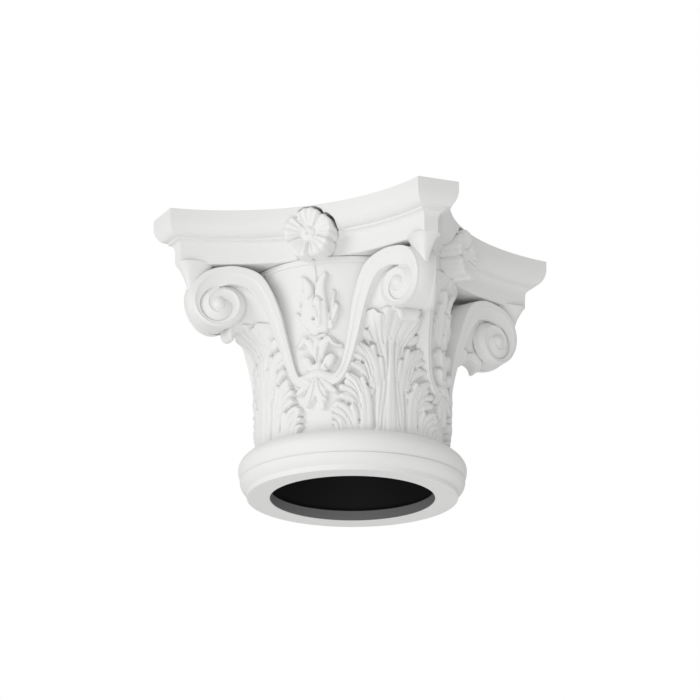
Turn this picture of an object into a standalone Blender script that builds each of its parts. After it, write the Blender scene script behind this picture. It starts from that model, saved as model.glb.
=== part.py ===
"""A hollow cast Corinthian capital with four applied rosettes.

Metres, +Z up. The origin is the centre of the ring's flat underside. The faces of the
abacus look along -Y, +X, +Y and -X, and its cut corners point along the diagonals.
"""

from math import atan2, cos, pi, radians, sin, sqrt

import bmesh
import bpy
from mathutils import Matrix, Vector

# Overall sizes
SHAFT_RADIUS = 0.130
HEIGHT = 0.334

# Ring at the foot: a torus, a little flattened above, over a low band
TORUS_RADIUS = 0.024
TORUS_RISE = 0.0192
TORUS_WIDEST = 0.1408
TORUS_HEIGHT = 0.034
BAND_HEIGHT = 0.0206
GROOVE_DEPTH = 0.0042

# Abacus: four concave sides and four cut corners
ABACUS_WIDTH = 0.4008
CORNER_HALF_WIDTH = 0.0272
ABACUS_CORNER = ABACUS_WIDTH / sqrt(2) - CORNER_HALF_WIDTH
ABACUS_MIDDLE = 0.1465
ABACUS_UNDERSIDE = HEIGHT - 0.062
ABACUS_EDGE = 0.0104
OVOLO_UNDERSIDE = HEIGHT - 0.0315
OVOLO_INSET = 0.0141
FACE_INSET = 0.0218

# Bell between the ring and the abacus
BELL_RADIUS = 0.1145
BELL_FOOT = 0.050
RIM_RADIUS = 0.131
RIM_HEIGHT = ABACUS_UNDERSIDE - 0.006

# Bore for the structural post, and the wall behind the carving
BORE_RADIUS = 0.1016
LIP_HEIGHT = 0.014
CAVITY_RADIUS = BELL_RADIUS - 0.008
TOP_LIP_HEIGHT = 0.018

# Volutes and the ribbons that rise to them
VOLUTE_INSET = 0.0200
VOLUTE_ALONG = 0.1195
VOLUTE_HEIGHT = ABACUS_UNDERSIDE - 0.0515
VOLUTE_SINK = 0.010
VOLUTE_SEAT = 0.004
VOLUTE_BULGE = 0.011
BULGE_START = 0.195
BULGE_END = 0.225
BODY_INSET = 0.0008
BAND_WIDTH = 0.0155
BAND_TAPER = 0.0045
EDGE_FALL = 0.001
WEB_SINK = 0.001
RIBBON_DEPTH = 0.030
BOSS_RADIUS = 0.0080
BOSS_PROUD = 0.0025

# Corner leaves: their ground over the bell, relief, extra at the lobes, and curl at the top
LEAF_GROUND = 0.0015
LEAF_RELIEF = 0.0045
LEAF_SWELL = 0.004
LEAF_CURL = 0.012

# Applied rosettes
ROSETTE_RADIUS = 0.0325
ROSETTE_HEIGHT = HEIGHT - 0.0365
ROSETTE_FRONT = 0.1545
POCKET_FLOOR = 0.1195
POCKET_GAP = 0.0035
POCKET_LINTEL = 0.002
CLEARANCE = 0.0003

# Facets
TURN_STEPS = 28
SIDE_STEPS = 6
SPIRAL_STEPS = 9
PETAL_STEPS = 4
SPIRAL_TURNS = 1.35
DIAGONAL = radians(45)


def clear_scene():
    for item in list(bpy.data.objects):
        bpy.data.objects.remove(item, do_unlink=True)


def collection(name):
    group = bpy.data.collections.new(name)
    bpy.context.scene.collection.children.link(group)
    return group


def material(name, colour, roughness):
    finish = bpy.data.materials.new(name)
    finish.use_nodes = True
    shader = finish.node_tree.nodes["Principled BSDF"]
    shader.inputs["Base Color"].default_value = (*colour, 1.0)
    shader.inputs["Roughness"].default_value = roughness
    shader.inputs["Metallic"].default_value = 0.0
    return finish


def new_object(name, mesh, group, finish=None):
    item = bpy.data.objects.new(name, mesh)
    group.objects.link(item)
    if finish is not None:
        mesh.materials.append(finish)
    return item


def mesh_from(bm, name):
    bmesh.ops.remove_doubles(bm, verts=bm.verts, dist=0.00001)
    bmesh.ops.recalc_face_normals(bm, faces=bm.faces)
    mesh = bpy.data.meshes.new(name)
    bm.to_mesh(mesh)
    bm.free()
    return mesh


def smooth_step(low, high, value):
    share = min(1.0, max(0.0, (value - low) / (high - low)))
    return share * share * (3.0 - 2.0 * share)


def value_at(table, place):
    """Straight-line reading of a table of (place, value) pairs."""
    for (low, first), (high, second) in zip(table, table[1:]):
        if place <= high:
            share = max(0.0, (place - low) / (high - low))
            return first + (second - first) * share
    return table[-1][1]


def loft(bm, sections, close_ends=True):
    """Skin between unlike sections that have the same number of points."""
    rings = [[bm.verts.new(point) for point in section] for section in sections]
    for lower, upper in zip(rings, rings[1:]):
        count = len(lower)
        for index in range(count):
            after = (index + 1) % count
            bm.faces.new((lower[index], lower[after], upper[after], upper[index]))
    if close_ends:
        bm.faces.new(rings[0])
        bm.faces.new(rings[-1])
    return rings


def turned(name, outline, group):
    """A profile of (radius, height) points turned round the Z axis."""
    bm = bmesh.new()
    points = [bm.verts.new((radius, 0.0, height)) for radius, height in outline]
    for start, end in zip(points, points[1:]):
        bm.edges.new((start, end))
    profile = bpy.data.meshes.new(name)
    bm.to_mesh(profile)
    bm.free()
    item = new_object(name, profile, group)
    screw = item.modifiers.new("turn", "SCREW")
    screw.steps = TURN_STEPS
    screw.render_steps = TURN_STEPS
    screw.use_merge_vertices = True
    screw.merge_threshold = 0.00001
    return item


def quarter_copies(mesh, name, group):
    """The four copies of a carving, one for each quarter, as one cutter-like guide."""
    bm = bmesh.new()
    for quarter in range(4):
        part = bmesh.new()
        part.from_mesh(mesh)
        bmesh.ops.rotate(part, verts=part.verts, cent=(0, 0, 0),
                         matrix=Matrix.Rotation(quarter * pi / 2, 3, "Z"))
        turned_mesh = bpy.data.meshes.new(name)
        part.to_mesh(turned_mesh)
        part.free()
        bm.from_mesh(turned_mesh)
        bpy.data.meshes.remove(turned_mesh)
    joined = bpy.data.meshes.new(name)
    bm.to_mesh(joined)
    bm.free()
    bpy.data.meshes.remove(mesh)
    item = new_object(name, joined, group)
    as_guide(item)
    return item


def as_guide(item):
    item.hide_render = True
    item.display_type = "WIRE"


def boolean(item, others, operation):
    """Join or cut an object with everything in a collection."""
    step = item.modifiers.new(others.name, "BOOLEAN")
    step.operation = operation
    step.solver = "EXACT"
    step.operand_type = "COLLECTION"
    step.collection = others
    return step


# Turned body

def torus_point(degrees):
    centre = TORUS_WIDEST - TORUS_RADIUS
    angle = radians(degrees)
    rise = TORUS_RISE if degrees > 0 else TORUS_RADIUS
    return (centre + TORUS_RADIUS * cos(angle), TORUS_HEIGHT + rise * sin(angle))


def bell_radius(height):
    """Radius of the plain bell behind the carving."""
    flare = RIM_RADIUS - BELL_RADIUS
    share = max(0.0, (height - 0.6 * RIM_HEIGHT) / (0.4 * RIM_HEIGHT))
    return BELL_RADIUS + flare * (0.25 * share + 0.75 * share ** 4)


def body_outline():
    """Outer side of the ring and the bell, from the top down, closed on the axis."""
    bell = [RIM_HEIGHT * share for share in (0.955, 0.86, 0.6)]
    rim = [(0.0, ABACUS_UNDERSIDE + 0.010), (RIM_RADIUS - 0.006, ABACUS_UNDERSIDE + 0.001),
           (RIM_RADIUS, RIM_HEIGHT + 0.002), (RIM_RADIUS - 0.001, RIM_HEIGHT - 0.004)]
    flank = [(bell_radius(height), height) for height in bell]
    ring = [torus_point(degrees) for degrees in (80, 50, 22, 0, -29)]
    groove = (TORUS_WIDEST - GROOVE_DEPTH, BAND_HEIGHT)
    band = [(TORUS_WIDEST - 0.0022, BAND_HEIGHT - 0.003), (TORUS_WIDEST - 0.0047, 0.012),
            (SHAFT_RADIUS + 0.001, 0.0065), (SHAFT_RADIUS, 0.0), (0.0, 0.0)]
    return [*rim, *flank, (BELL_RADIUS, BELL_FOOT), *ring, groove, *band]


def cavity_outline():
    """Bore and cavity, from above the top down, closed on the axis."""
    over = 0.010
    return [(0.0, HEIGHT + over), (BORE_RADIUS, HEIGHT + over),
            (BORE_RADIUS, HEIGHT - TOP_LIP_HEIGHT),
            (CAVITY_RADIUS, HEIGHT - TOP_LIP_HEIGHT - (CAVITY_RADIUS - BORE_RADIUS)),
            (CAVITY_RADIUS, LIP_HEIGHT), (BORE_RADIUS, LIP_HEIGHT),
            (BORE_RADIUS, -over), (0.0, -over)]


# Abacus

def side_radius():
    """Radius of the concave side, from its middle and its cut corner."""
    along = (ABACUS_CORNER - CORNER_HALF_WIDTH) / sqrt(2)
    out = (ABACUS_CORNER + CORNER_HALF_WIDTH) / sqrt(2)
    rise = out - ABACUS_MIDDLE
    return (along ** 2 + rise ** 2) / (2 * rise)


def side_half_angle(inset):
    """Half the angle of the side's arc between its corners, drawn in by the inset."""
    radius = side_radius() + inset
    centre = ABACUS_MIDDLE + side_radius()
    corner = ABACUS_CORNER - inset
    across = centre / sqrt(2)
    off = across - corner
    along = sqrt(radius ** 2 - off ** 2)
    half = across - along
    place = ((corner - half) / sqrt(2), centre - (corner + half) / sqrt(2))
    return atan2(place[0], place[1])


def abacus_outline(inset, height):
    centre = ABACUS_MIDDLE + side_radius()
    radius = side_radius() + inset
    half = side_half_angle(inset)
    points = []
    for quarter in range(4):
        turn = Matrix.Rotation(quarter * pi / 2, 3, "Z")
        for step in range(SIDE_STEPS + 1):
            angle = half * (2 * step / SIDE_STEPS - 1)
            point = Vector((radius * sin(angle), -centre + radius * cos(angle), height))
            points.append(turn @ point)
    return points


def abacus_levels():
    """(inset, height) of the abacus's profile, from the top down."""
    drop = HEIGHT - ABACUS_EDGE - OVOLO_UNDERSIDE
    ovolo = [(OVOLO_INSET * (1 - cos(angle)), OVOLO_UNDERSIDE + drop * (1 - sin(angle)))
             for angle in (radians(degrees) for degrees in (0, 25, 50, 72, 90))]
    fillet = (OVOLO_INSET + 0.0004, OVOLO_UNDERSIDE - 0.0028)
    cove = [(OVOLO_INSET + 0.0030, OVOLO_UNDERSIDE - 0.0070),
            (FACE_INSET - 0.0006, OVOLO_UNDERSIDE - 0.0125)]
    face = [(FACE_INSET, ABACUS_UNDERSIDE + 0.0020), (FACE_INSET + 0.0012, ABACUS_UNDERSIDE)]
    return [(0.0, HEIGHT), *ovolo, fillet, *cove, *face]


def build_abacus(group):
    bm = bmesh.new()
    loft(bm, [abacus_outline(inset, height) for inset, height in abacus_levels()])
    item = new_object("abacus_form", mesh_from(bm, "abacus_form"), group)
    as_guide(item)
    return item


# Volutes, laid out on an upright sheet that follows the concave side

def sheet_point(along, height, depth):
    """Front of the volutes at depth 0; along is measured from the face's middle."""
    sheet = side_radius() + VOLUTE_INSET
    angle = along / sheet
    radius = sheet + depth
    centre = ABACUS_MIDDLE + side_radius()
    return Vector((radius * sin(angle), -centre + radius * cos(angle), height))


def volute_edge(turn):
    """Outer edge of the spiral after so many turns from its top, outwards first."""
    table = [(0.0, 0.0470), (0.125, 0.0405), (0.25, 0.0340), (0.375, 0.0300), (0.5, 0.0290),
             (0.75, 0.0314), (1.0, 0.0246), (1.25, 0.0240), (1.5, 0.0220), (1.75, 0.0160)]
    return value_at(table, turn)


def volute_point(turn, radius, depth):
    angle = 2 * pi * turn
    return sheet_point(VOLUTE_ALONG + radius * sin(angle),
                       VOLUTE_HEIGHT + radius * cos(angle), depth)


def ribbon_route():
    """(along, height, half width, depth of the front) from the knot to the volute's top."""
    return [(0.008, 0.1185, 0.0052, 0.0074), (0.019, 0.1165, 0.0054, 0.0070),
            (0.028, 0.1225, 0.0052, 0.0080), (0.035, 0.139, 0.0052, 0.0110),
            (0.0445, 0.1715, 0.0066, 0.0100), (0.0575, 0.2145, 0.0090, 0.0045),
            (0.075, 0.2465, 0.0115, 0.0004), (0.099, 0.257, 0.0120, 0.0)]


def mirrored(point):
    """The same place on the next face: across the corner's diagonal plane."""
    return Vector((-point.y, -point.x, point.z))


def swept_sections():
    """Sections of the ribbon and of the spiral that it rolls into."""
    route = ribbon_route()
    sections = []
    for index, (along, height, half, front) in enumerate(route):
        before = Vector(route[max(0, index - 1)][:2])
        after = Vector(route[min(len(route) - 1, index + 1)][:2])
        ahead = (after - before).normalized()
        side = Vector((ahead.y, -ahead.x)) * half
        back = front + RIBBON_DEPTH
        sections.append([sheet_point(along - side.x, height - side.y, front),
                         sheet_point(along + side.x, height + side.y, front + EDGE_FALL),
                         sheet_point(along + side.x, height + side.y, back),
                         sheet_point(along - side.x, height - side.y, back)])
    for step in range(1, int(SPIRAL_TURNS * SPIRAL_STEPS) + 1):
        turn = step / SPIRAL_STEPS
        outer = volute_edge(turn)
        width = BAND_WIDTH - BAND_TAPER * turn
        inner = max(0.0015, outer - width)
        sections.append([volute_point(turn, outer, 0.0), volute_point(turn, inner, EDGE_FALL),
                         volute_point(turn, inner, VOLUTE_SINK + VOLUTE_SEAT),
                         volute_point(turn, outer, VOLUTE_SINK + VOLUTE_SEAT)])
    return sections


def add_copy(bm, change):
    """A changed copy of everything in the mesh so far."""
    twin = bmesh.ops.duplicate(bm, geom=bm.verts[:] + bm.edges[:] + bm.faces[:])["geom"]
    for item in twin:
        if isinstance(item, bmesh.types.BMVert):
            item.co = change(item.co)


def build_scrolls(group):
    """Ribbon and spiral on both sides of a corner, then on all four corners."""
    bm = bmesh.new()
    loft(bm, swept_sections())
    add_copy(bm, mirrored)
    return quarter_copies(mesh_from(bm, "scroll_form"), "scroll_form", group)


def build_volute_bodies(group):
    """The solid between the two spirals of a corner."""
    bm = bmesh.new()
    turns = [step / SPIRAL_STEPS for step in range(SPIRAL_STEPS)]
    front = [volute_point(turn, volute_edge(turn) - BODY_INSET, VOLUTE_SINK) for turn in turns]
    waist = []
    for point in front:
        twin = mirrored(point)
        middle = (point + twin) / 2
        bulge = 1.0 + VOLUTE_BULGE * smooth_step(BULGE_START, BULGE_END, middle.xy.length)
        waist.append(Vector((middle.x * bulge, middle.y * bulge, middle.z)))
    loft(bm, [front, waist, [mirrored(point) for point in front]])
    return quarter_copies(mesh_from(bm, "volute_form"), "volute_form", group)


def web_rows():
    """(height, depth behind the sheet, start and reach along it, share drawn in to the bell)."""
    return [(0.176, 0.023, 0.047, 0.101, 1.0), (0.192, 0.021, 0.052, 0.112, 0.45),
            (0.208, 0.017, 0.058, 0.118, 0.0), (0.236, 0.013, 0.074, VOLUTE_ALONG, 0.0),
            (ABACUS_UNDERSIDE - 0.008, 0.013, 0.102, VOLUTE_ALONG, 0.0)]


def build_webs(group):
    """The solid behind each pair of ribbons, coved out from the bell to the volutes."""
    steps = 2
    bm = bmesh.new()
    sections = []
    for height, depth, start, reach, drawn in web_rows():
        near = []
        for step in range(steps + 1):
            point = sheet_point(start + (reach - start) * step / steps, height, depth)
            on_bell = point.xy.normalized() * (bell_radius(height) - WEB_SINK)
            near.append(point.lerp(on_bell.to_3d() + Vector((0.0, 0.0, height)), drawn))
        inner = Matrix.Rotation(-DIAGONAL, 3, "Z") @ Vector((CAVITY_RADIUS * 0.9, 0.0, height))
        sections.append(near + [mirrored(point) for point in reversed(near)] + [inner])
    loft(bm, sections)
    return quarter_copies(mesh_from(bm, "web_form"), "web_form", group)


def build_bosses(group):
    """The round eye of each spiral."""
    bm = bmesh.new()
    steps = 6
    rings = []
    for share, depth in ((1.0, VOLUTE_SINK + VOLUTE_SEAT), (0.8, -BOSS_PROUD)):
        rings.append([volute_point(step / steps, BOSS_RADIUS * share, depth)
                      for step in range(steps)])
    loft(bm, rings)
    add_copy(bm, mirrored)
    return quarter_copies(mesh_from(bm, "boss_form"), "boss_form", group)


def build_horns(group):
    """The tongue that runs from the abacus's corner down between the volutes."""
    tip = ABACUS_CORNER - FACE_INSET
    levels = [(ABACUS_UNDERSIDE + 0.002, tip - 0.044, tip - 0.0005, 0.0170),
              (ABACUS_UNDERSIDE - 0.008, tip - 0.042, tip - 0.0060, 0.0100),
              (ABACUS_UNDERSIDE - 0.022, tip - 0.040, tip - 0.0115, 0.0055),
              (ABACUS_UNDERSIDE - 0.042, tip - 0.035, tip - 0.0150, 0.0020)]
    bm = bmesh.new()
    turn = Matrix.Rotation(-DIAGONAL, 3, "Z")
    loft(bm, [[turn @ Vector((near, -half, height)), turn @ Vector((far, -half * 0.8, height)),
               turn @ Vector((far, half * 0.8, height)), turn @ Vector((near, half, height))]
              for height, near, far, half in levels])
    return quarter_copies(mesh_from(bm, "horn_form"), "horn_form", group)


# Leaves

def leaf(bm, azimuth, rows, columns, sink):
    """A carved leaf on the bell.

    Each row is (height, radius of the midrib, half width, radius of the edge).
    Columns are (share of the half width, rise over the edge as a share of the relief).
    """
    front = []
    back = []
    for height, radius, half, ground in rows:
        front_row = []
        back_row = []
        for share, rise in columns:
            angle = azimuth + share * half / radius
            edge = ground + (radius - ground) * rise
            front_row.append(Vector((edge * sin(angle), -edge * cos(angle), height)))
            under = min(ground, edge) - sink
            back_row.append(Vector((under * sin(angle), -under * cos(angle), height)))
        front.append(front_row)
        back.append(back_row)
    sections = [row + list(reversed(under)) for row, under in zip(front, back)]
    loft(bm, sections)


def corner_leaf_rows():
    """Lobes in pairs of tip and notch up the leaf, from its foot to where it curls."""
    outline = [(0.048, 0.050, 0.0), (0.070, 0.061, 0.3), (0.087, 0.065, 1.0),
               (0.098, 0.046, 0.2), (0.110, 0.056, 0.6), (0.124, 0.060, 1.0),
               (0.136, 0.038, 0.2), (0.149, 0.048, 0.6), (0.163, 0.048, 1.0), (0.176, 0.028, 0.6)]
    rows = []
    for height, half, swell in outline:
        ground = bell_radius(height) + LEAF_GROUND
        lift = LEAF_CURL * smooth_step(0.145, 0.180, height)
        rows.append((height, ground + LEAF_RELIEF + LEAF_SWELL * swell + lift, half, ground + lift * 0.6))
    return rows


FLUTES = [(-1.0, 0.0), (-0.62, 0.8), (-0.20, 1.0), (0.20, 1.0), (0.62, 0.8), (1.0, 0.0)]


def build_corner_leaves(group):
    bm = bmesh.new()
    leaf(bm, DIAGONAL, corner_leaf_rows(), FLUTES, 0.008)
    return quarter_copies(mesh_from(bm, "corner_leaf_form"), "corner_leaf_form", group)


def build_leaf_tips(group):
    """The tip of each corner leaf, curled out under the volutes.

    The path's rows are (radius, height, half width, thickness).
    """
    path = [(0.125, 0.170, 0.021, 0.008), (0.134, 0.187, 0.022, 0.009),
            (0.147, 0.1955, 0.021, 0.0105), (0.160, 0.1935, 0.0165, 0.009),
            (0.166, 0.185, 0.007, 0.003)]
    bm = bmesh.new()
    turn = Matrix.Rotation(-DIAGONAL, 3, "Z")
    sections = []
    for index, (radius, height, half, thick) in enumerate(path):
        before = Vector(path[max(0, index - 1)][:2])
        after = Vector(path[min(len(path) - 1, index + 1)][:2])
        ahead = (after - before).normalized()
        down = Vector((ahead.y, -ahead.x)) * thick
        crown = [(-1.0, 0.3), (-0.5, 0.0), (0.5, 0.0), (1.0, 0.3), (0.6, 1.0), (-0.6, 1.0)]
        sections.append([turn @ Vector((radius + down.x * drop, half * share,
                                        height + down.y * drop))
                         for share, drop in crown])
    loft(bm, sections)
    return quarter_copies(mesh_from(bm, "leaf_tip_form"), "leaf_tip_form", group)


def face_leaf_rows():
    """On each face: the hanging leaf under the knot, the cup over it and the bud."""
    hanging = [(0.084, 0.0010, 0.003), (0.096, 0.009, 0.005), (0.101, 0.017, 0.006),
               (0.105, 0.010, 0.007), (0.112, 0.019, 0.007), (0.120, 0.009, 0.008)]
    cup = [(0.118, 0.010, 0.008), (0.146, 0.014, 0.007), (0.156, 0.026, 0.006),
           (0.163, 0.014, 0.005), (0.168, 0.006, 0.003)]
    bud = [(0.162, 0.006, 0.004), (0.184, 0.013, 0.007), (0.198, 0.021, 0.006),
           (0.204, 0.011, 0.007), (0.216, 0.017, 0.006), (0.222, 0.009, 0.006),
           (0.236, 0.003, 0.004), (0.264, 0.0014, 0.003)]
    return {"hanging_leaf": hanging, "cup_leaf": cup, "bud_leaf": bud}


def build_face_leaf(name, rows, group):
    form = [(-1.0, 0.0), (-0.4, 1.0), (0.4, 1.0), (1.0, 0.0)]
    bm = bmesh.new()
    leaf(bm, 0.0, [(height, bell_radius(height) + 0.001 + relief, half,
                    bell_radius(height) + 0.001) for height, half, relief in rows],
         form, 0.006)
    return quarter_copies(mesh_from(bm, name), name, group)


def build_knots(group):
    """The knot that the ribbons spring from, and the two curled leaves over it."""
    bm = bmesh.new()
    for along, height, radius in ((0.0, 0.122, 0.0095), (-0.014, 0.138, 0.0085),
                                  (0.014, 0.140, 0.0085)):
        place = Vector((along, -(bell_radius(height) + 0.003), height))
        bmesh.ops.create_uvsphere(bm, u_segments=6, v_segments=4, radius=radius,
                                  matrix=Matrix.Translation(place))
    return quarter_copies(mesh_from(bm, "knot_form"), "knot_form", group)


# Rosettes

def petal_radius(angle):
    """Outline of the five-petalled rosette, one petal pointing up."""
    petals = 5
    swing = abs(cos(petals * (angle - pi / 2) / 2))
    return ROSETTE_RADIUS * (0.84 + 0.16 * swing ** 0.6)


def rosette_loop(scale, grow, out):
    points = []
    for step in range(PETAL_STEPS * 5):
        angle = pi / 2 + 2 * pi * step / (PETAL_STEPS * 5)
        radius = petal_radius(angle) * scale + grow
        points.append(Vector((radius * cos(angle), -out, ROSETTE_HEIGHT + radius * sin(angle))))
    return points


def ribbed_loop(scale, out, groove):
    """A loop on the petals' face, lower where two petals meet."""
    points = rosette_loop(scale, 0.0, out)
    for index, point in enumerate(points):
        if index % PETAL_STEPS == PETAL_STEPS // 2:
            point.y += groove
    return points


def build_rosette(name, quarter, group, finish):
    bm = bmesh.new()
    button = [rosette_loop(0.27, 0.0, ROSETTE_FRONT - 0.007),
              rosette_loop(0.20, 0.0, ROSETTE_FRONT)]
    loft(bm, [rosette_loop(1.0, 0.0, POCKET_FLOOR + CLEARANCE),
              ribbed_loop(1.0, ROSETTE_FRONT - 0.003, 0.004),
              ribbed_loop(0.70, ROSETTE_FRONT, 0.004), *button])
    bmesh.ops.rotate(bm, verts=bm.verts, cent=(0, 0, 0),
                     matrix=Matrix.Rotation(quarter * pi / 2, 3, "Z"))
    return new_object(name, mesh_from(bm, name), group, finish)


def build_pockets(group):
    """The recess behind each rosette: close at its sides and foot, open over its top."""
    bm = bmesh.new()
    loops = []
    for out in (POCKET_FLOOR, ABACUS_CORNER):
        loop = rosette_loop(1.0, CLEARANCE, out)
        for point in loop:
            rise = smooth_step(-0.002, 0.006, point.z - ROSETTE_HEIGHT)
            centre = Vector((0.0, -out, ROSETTE_HEIGHT))
            reach = (point - centre).length
            point += (point - centre) / reach * POCKET_GAP * rise
            point.z = min(point.z, HEIGHT - POCKET_LINTEL)
        loops.append(loop)
    loft(bm, loops)
    return quarter_copies(mesh_from(bm, "pocket_form"), "pocket_form", group)


def build_carvings(group):
    build_abacus(group)
    build_webs(group)
    build_volute_bodies(group)
    build_scrolls(group)
    build_bosses(group)
    build_horns(group)
    build_corner_leaves(group)
    build_leaf_tips(group)
    build_knots(group)
    for name, rows in face_leaf_rows().items():
        build_face_leaf(name, rows, group)


def build_hollows(group):
    build_pockets(group)
    as_guide(turned("cavity_form", cavity_outline(), group))


def build_capital(group, finish):
    body = turned("capital", body_outline(), group)
    body.data.materials.append(finish)
    carvings = collection("carving_forms")
    build_carvings(carvings)
    boolean(body, carvings, "UNION")
    hollows = collection("hollow_forms")
    build_hollows(hollows)
    boolean(body, hollows, "DIFFERENCE")
    return body


def main():
    clear_scene()
    parts = collection("corinthian_capital")
    plaster = material("cast_white", (0.80, 0.80, 0.79), 0.62)
    applied = material("rosette_white", (0.82, 0.82, 0.81), 0.60)
    build_capital(parts, plaster)
    for quarter, side in enumerate(("front", "right", "back", "left")):
        build_rosette("rosette_" + side, quarter, parts, applied)


main()
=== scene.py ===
"""Builds the look of a hollow cast Corinthian capital round its fixed solids.

Metres, +Z up. The origin is the centre of the ring's flat underside, the abacus's faces
look along -Y, +X, +Y and -X, and its cut corners point along the diagonals.
"""

from math import cos, hypot, pi, radians, sin, sqrt

import bmesh
import bpy
import numpy as np
from bpy.props import FloatProperty, FloatVectorProperty, IntProperty, PointerProperty
from mathutils import Matrix, Vector


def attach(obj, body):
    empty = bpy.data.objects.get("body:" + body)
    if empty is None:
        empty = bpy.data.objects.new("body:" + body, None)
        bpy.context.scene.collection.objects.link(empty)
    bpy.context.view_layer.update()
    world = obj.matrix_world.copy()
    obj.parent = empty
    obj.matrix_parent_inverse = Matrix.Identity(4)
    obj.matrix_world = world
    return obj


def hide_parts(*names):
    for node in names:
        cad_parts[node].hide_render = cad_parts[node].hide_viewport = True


bl_info = {
    "name": "Corinthian Capital",
    "version": (1, 0, 0),
    "blender": (4, 5, 0),
    "location": "3D View > Sidebar > Capital",
    "description": "Builds a cast Corinthian capital with rosettes, and a plain studio for it",
    "category": "Add Mesh",
}

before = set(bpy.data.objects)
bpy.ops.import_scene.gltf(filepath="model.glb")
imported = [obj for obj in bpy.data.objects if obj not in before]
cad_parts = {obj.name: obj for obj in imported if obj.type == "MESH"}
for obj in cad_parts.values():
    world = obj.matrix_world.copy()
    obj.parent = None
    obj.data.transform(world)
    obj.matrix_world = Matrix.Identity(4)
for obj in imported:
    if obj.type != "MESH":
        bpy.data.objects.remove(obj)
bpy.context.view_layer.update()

MM = 0.001
DIAGONAL = radians(45)
TO_DIAGONAL = np.array(Matrix.Rotation(-DIAGONAL, 3, "Z")).T
FACES = ("front", "right", "back", "left")


# Sizes, finishes and the stage, as the sidebar shows them

def length(name, text, value):
    return FloatProperty(name=name, description=text, default=value, min=0.0, unit="LENGTH",
                         precision=4)


class CapitalSizes(bpy.types.PropertyGroup):
    height: length("Height", "Underside of the ring to the top of the abacus", 0.334)
    shaft_radius: length("Shaft radius", "Radius of the foot where it meets the shaft", 0.130)
    bore_radius: length("Bore radius", "Radius of the hole for the structural post", 0.1016)
    cavity_radius: length("Cavity radius", "Inside of the wall behind the carving", 0.1065)
    torus_radius: length("Torus radius", "Radius of the ring's round section", 0.024)
    torus_rise: length("Torus rise", "Height of the ring's top over its widest line", 0.0192)
    torus_widest: length("Torus reach", "Widest radius of the ring", 0.1408)
    torus_height: length("Torus height", "Height of the ring's widest line", 0.034)
    bell_radius: length("Bell radius", "Radius of the plain bell", 0.1145)
    rim_radius: length("Rim radius", "Radius of the bell's lip", 0.131)
    rim_height: length("Rim height", "Height of the bell's lip", 0.266)
    abacus_corner: length("Abacus corner", "Distance out to the cut corner", 0.2562)
    corner_half_width: length("Corner half width", "Half the width of the cut corner", 0.0272)
    abacus_middle: length("Abacus middle", "Distance out to the middle of a side", 0.1465)
    abacus_underside: length("Abacus underside", "Height of the abacus's underside", 0.272)
    ovolo_underside: length("Ovolo underside", "Height at which the ovolo ends", 0.3025)
    ovolo_inset: length("Ovolo inset", "Inset of the ovolo's foot from the edge", 0.0141)
    face_inset: length("Face inset", "Inset of the abacus's upright face", 0.0218)


class VoluteSizes(bpy.types.PropertyGroup):
    inset: length("Sheet inset", "Front of the volutes behind the abacus's edge", 0.0200)
    along: length("Along", "From the middle of a face to the spiral's centre", 0.1195)
    height: length("Height", "Height of the spiral's centre", 0.2205)
    wall: length("Wall", "Depth of the spiral's outer wall in front of the web", 0.014)
    boss_radius: length("Boss radius", "Radius of the round eye", 0.0090)
    turns: FloatProperty(name="Turns", description="Turns of the spiral", default=1.85, min=1.0)


class CarvingSettings(bpy.types.PropertyGroup):
    cell: length("Cell", "Size of a cell in the carved meshes", 0.00078)
    relief: FloatProperty(name="Relief", description="Scale of the carving's depth",
                          default=1.0, min=0.1, max=2.0)
    turn_steps: IntProperty(name="Steps round", description="Steps in a full turn",
                            default=192, min=24)


class RosetteSizes(bpy.types.PropertyGroup):
    radius: length("Radius", "Radius of the rosette", 0.0325)
    height: length("Height", "Height of the rosette's centre", 0.2975)
    front: length("Front", "Distance out to the front of the petals", 0.1545)
    floor: length("Pocket floor", "Distance out to the floor of its recess", 0.1195)
    gap: length("Gap", "Open joint over the rosette", 0.0035)
    petals: IntProperty(name="Petals", description="Number of petals", default=5, min=3)


def colour(name, text, value):
    return FloatVectorProperty(name=name, description=text, default=value, size=3,
                               subtype="COLOR", min=0.0, max=1.0)


def factor(name, text, value):
    return FloatProperty(name=name, description=text, default=value, min=0.0, max=1.0,
                         subtype="FACTOR")


class CapitalFinish(bpy.types.PropertyGroup):
    cast: colour("Cast white", "Colour of the cast body", (0.80, 0.80, 0.79))
    rosette: colour("Rosette white", "Colour of the rosettes", (0.82, 0.82, 0.81))
    # Painted shade: the lip's mid grey and the inside's near black stand in for the bore's
    # half-shaded lip and the unlit cavity
    lip: colour("Lip", "Colour of the cut wall of the bore", (0.20, 0.20, 0.20))
    inside: colour("Inside", "Colour of the cavity", (0.006, 0.006, 0.006))
    roughness: factor("Roughness", "Roughness of the cast white", 0.62)
    grain: factor("Grain", "Strength of the fine grain", 0.10)


class StageSettings(bpy.types.PropertyGroup):
    floor_drop: length("Floor drop", "Floor's distance below the capital", 2.2)
    ambient: FloatProperty(name="Ambient", description="Strength of the white surroundings",
                           default=0.64, min=0.0)
    key: FloatProperty(name="Key light", description="Power of the key light",
                       default=52.0, min=0.0, unit="POWER")
    low: FloatProperty(name="Low light", description="Power of the light from below",
                       default=40.0, min=0.0, unit="POWER")


# Reading of tables and curves

def smooth_step(low, high, value):
    share = np.clip((value - low) / (high - low), 0.0, 1.0)
    return share * share * (3.0 - 2.0 * share)


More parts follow.
